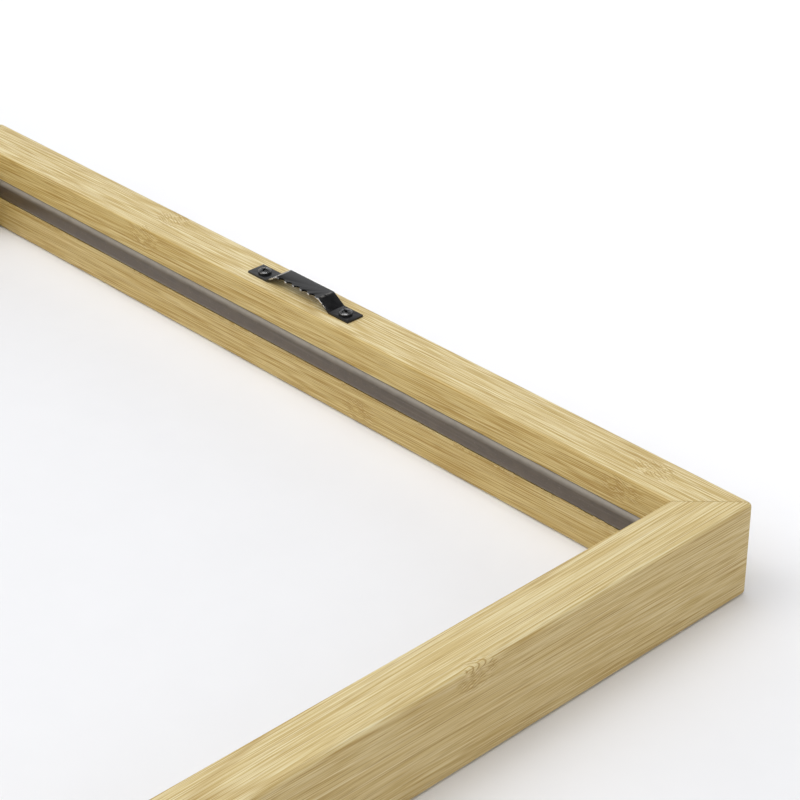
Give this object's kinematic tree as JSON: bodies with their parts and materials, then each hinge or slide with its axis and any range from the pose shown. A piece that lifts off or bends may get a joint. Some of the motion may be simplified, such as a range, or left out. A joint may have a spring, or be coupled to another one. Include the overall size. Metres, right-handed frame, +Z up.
{
  "type": "vinyl record frame",
  "caption": "Open square bamboo frame with mitred, doweled corners that grips a twelve-inch record sleeve between grooved-in rubber strips and hangs from a sawtooth hanger.",
  "frame": {"origin": "middle of the frame's front face, which lies on the surface that the part rests on", "axes": "+Z up, out of the back of the frame; +Y towards the top rail, which carries the hanger; +X to the right seen from behind"},
  "size_m": [0.3502, 0.3502, 0.0342],
  "materials": {
    "bamboo": "satin clear-sanded bamboo with fine fibres along each rail",
    "beech": "raw fluted beech",
    "grip_rubber": "satin extruded rubber",
    "black_painted_steel": "satin black paint",
    "black_zinc": "black zinc plate"
  },
  "bodies": {
    "root": {"top_rail": "bamboo", "bottom_rail": "bamboo", "left_rail": "bamboo", "right_rail": "bamboo", "top_grip_strip": "grip_rubber", "bottom_grip_strip": "grip_rubber", "left_grip_strip": "grip_rubber", "right_grip_strip": "grip_rubber", "top_left_front_dowel": "beech", "top_left_back_dowel": "beech", "top_right_front_dowel": "beech", "top_right_back_dowel": "beech", "bottom_left_front_dowel": "beech", "bottom_left_back_dowel": "beech", "bottom_right_front_dowel": "beech", "bottom_right_back_dowel": "beech", "sawtooth_hanger": "black_painted_steel", "left_hanger_screw": "black_zinc", "right_hanger_screw": "black_zinc"}
  },
  "joints": []
}
